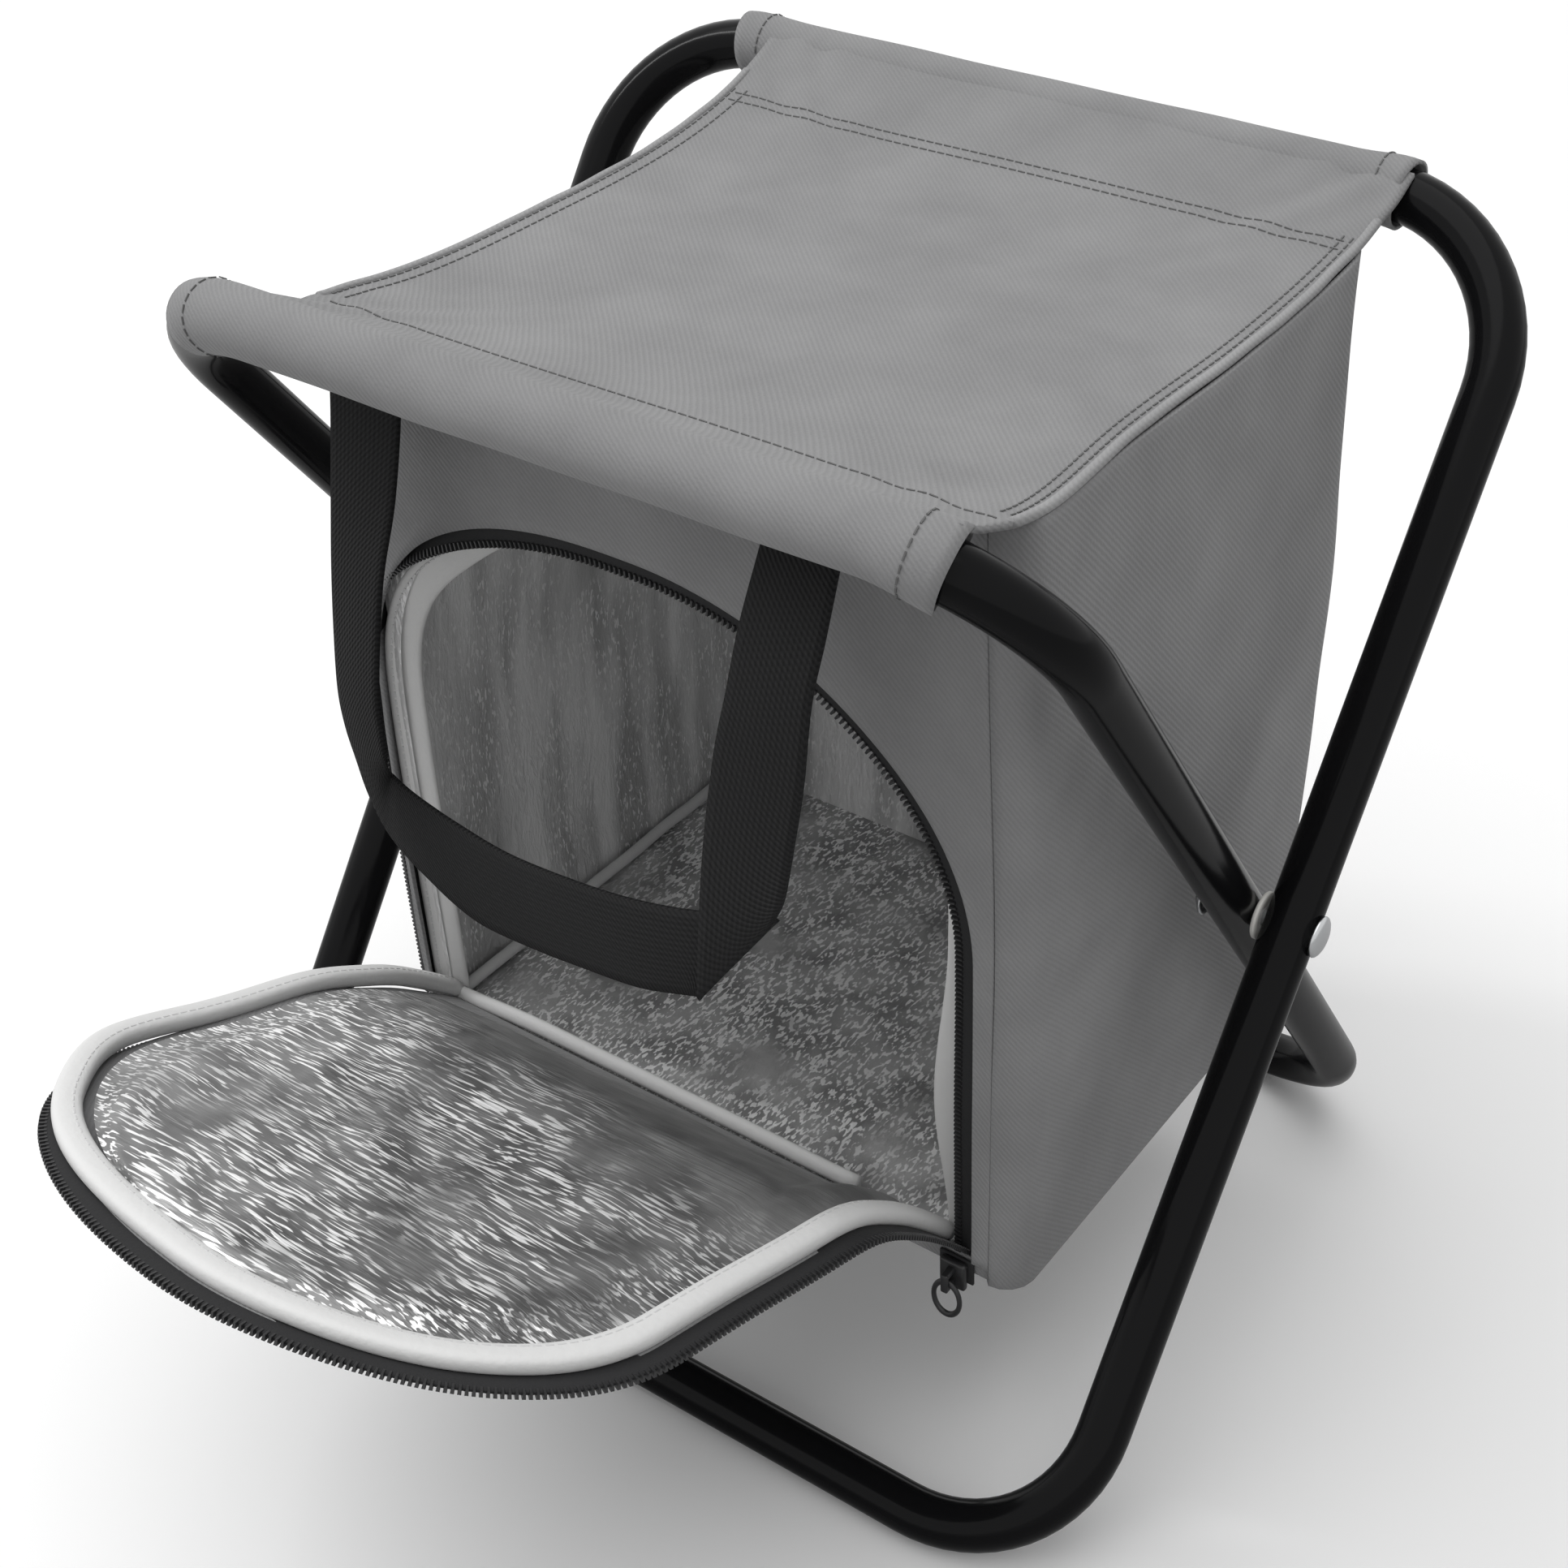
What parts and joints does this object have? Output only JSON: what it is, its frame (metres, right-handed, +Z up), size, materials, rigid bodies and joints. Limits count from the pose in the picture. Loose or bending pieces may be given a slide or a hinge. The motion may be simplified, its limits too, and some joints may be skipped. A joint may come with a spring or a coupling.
{
  "type": "folding cooler stool",
  "caption": "Low folding camping stool with crossed tube frames, a slung fabric seat and an insulated bag below that opens at an arched zip flap.",
  "frame": {"origin": "middle of the space the open stool takes, on the floor", "axes": "+Z up, +X to the user's right when facing the flap, +Y from the flap at the front to the rear"},
  "size_m": [0.3428, 0.4158, 0.3611],
  "materials": {
    "tube": "gloss black enamel on bent steel tube",
    "steel": "bright zinc plated",
    "nylon": "natural nylon",
    "cloth": "mid grey twill weave, matte",
    "foil": "crinkled silver foil laminate",
    "binding": "pale grey bias binding",
    "tape": "black ribbed webbing and zip tape",
    "slider": "black enamel"
  },
  "bodies": {
    "bag": {"seat_panel": "cloth", "seat_binding_left": "cloth", "seat_binding_right": "cloth", "bag_bottom": "cloth", "bag_left_side": "cloth", "bag_right_side": "cloth", "lining_bottom": "foil", "lining_left": "foil", "lining_right": "foil", "lining_top": "foil", "lining_piping_left": "binding", "lining_piping_right": "binding"},
    "pivot": {"pivot_rivet_left": "steel", "pivot_rivet_right": "steel", "pivot_spacer_left": "nylon", "pivot_spacer_right": "nylon", "pivot_tail_washer_left": "steel", "pivot_tail_washer_right": "steel"},
    "outer_frame": {"outer_frame_tube": "tube", "outer_frame_joint_plug": "steel", "rear_sleeve": "cloth"},
    "inner_frame": {"inner_frame_tube": "tube", "inner_frame_joint_plug": "steel", "front_sleeve": "cloth"},
    "bag_front": {"bag_front_panel": "cloth", "bag_front_header": "cloth", "lining_front": "foil", "opening_binding": "binding", "bag_zip_tape": "tape", "bag_zip_teeth": "slider", "zip_end_tab": "tape", "zip_slider": "slider", "handle_tab_left": "tape", "handle_tab_right": "tape"},
    "bag_rear": {"bag_rear_panel": "cloth", "bag_rear_header": "cloth", "lining_rear": "foil"},
    "flap_lower": {"flap_panel_lower": "cloth", "flap_lining_lower": "foil", "flap_binding_lower_left": "binding", "flap_binding_lower_right": "binding", "flap_zip_tape_lower_left": "tape", "flap_zip_tape_lower_right": "tape", "flap_zip_teeth_lower_left": "slider", "flap_zip_teeth_lower_right": "slider"},
    "flap_upper": {"flap_panel_upper": "cloth", "flap_lining_upper": "foil", "flap_binding_upper": "binding", "flap_zip_tape_upper": "tape", "flap_zip_teeth_upper": "slider", "flap_gusset": "cloth", "flap_gusset_lining": "foil"},
    "zip_pull": {"zip_pull_ring": "slider"},
    "handle": {"handle_webbing": "tape"}
  },
  "joints": [
    {"name": "pivot_drop", "type": "slide", "parent": "bag", "child": "pivot", "axis": [0, 0, 1], "range_m": [-0.0385, 0]},
    {"name": "fold", "type": "hinge", "parent": "pivot", "child": "outer_frame", "pos_m": [0, 0.06952, 0.17969], "axis": [1, 0, 0], "range_deg": [0, 30.4], "deforming": ["seat_panel", "seat_binding_left", "seat_binding_right", "bag_bottom", "bag_left_side", "bag_right_side", "lining_bottom", "lining_left", "lining_right", "lining_top", "lining_piping_left", "lining_piping_right", "bag_front_header", "bag_rear_header", "handle_tab_left", "handle_tab_right"]},
    {"name": "inner_fold", "type": "hinge", "parent": "pivot", "child": "inner_frame", "pos_m": [0, 0.06952, 0.17969], "axis": [1, 0, 0], "range_deg": [-32.6, 0]},
    {"name": "front_draws_in", "type": "slide", "parent": "bag", "child": "bag_front", "axis": [0, 1, 0], "range_m": [0, 0.076]},
    {"name": "rear_draws_in", "type": "slide", "parent": "bag", "child": "bag_rear", "axis": [0, 1, 0], "range_m": [-0.0775, 0]},
    {"name": "flap_hinge", "type": "hinge", "parent": "bag_front", "child": "flap_lower", "pos_m": [0, -0.01391, 0.08188], "axis": [-1, 0, 0], "range_deg": [0, 40], "deforming": ["handle_webbing", "flap_gusset", "flap_gusset_lining"]},
    {"name": "flap_crease", "type": "hinge", "parent": "flap_lower", "child": "flap_upper", "pos_m": [-0.1013, -0.05011, 0.12059], "axis": [-0.9732, 0.1216, 0.1952], "range_deg": [0, 30.84]},
    {"name": "handle_swing", "type": "hinge", "parent": "bag_front", "child": "handle", "pos_m": [0, -0.04438, 0.34029], "axis": [-1, 0, 0], "range_deg": [0, 65]},
    {"name": "zip_pull_swing", "type": "hinge", "parent": "bag_front", "child": "zip_pull", "pos_m": [0, -0.01991, 0.07394], "axis": [-1, 0, 0], "range_deg": [0, 100]}
  ],
  "couplings": [
    {"joint": "inner_fold", "follows": "fold", "ratio": -1.0658},
    {"joint": "pivot_drop", "follows": "fold", "m_per_rad": -0.07143},
    {"joint": "front_draws_in", "follows": "fold", "m_per_rad": 0.14135},
    {"joint": "rear_draws_in", "follows": "fold", "m_per_rad": -0.14418},
    {"joint": "flap_crease", "follows": "flap_hinge", "ratio": 0.76969}
  ]
}
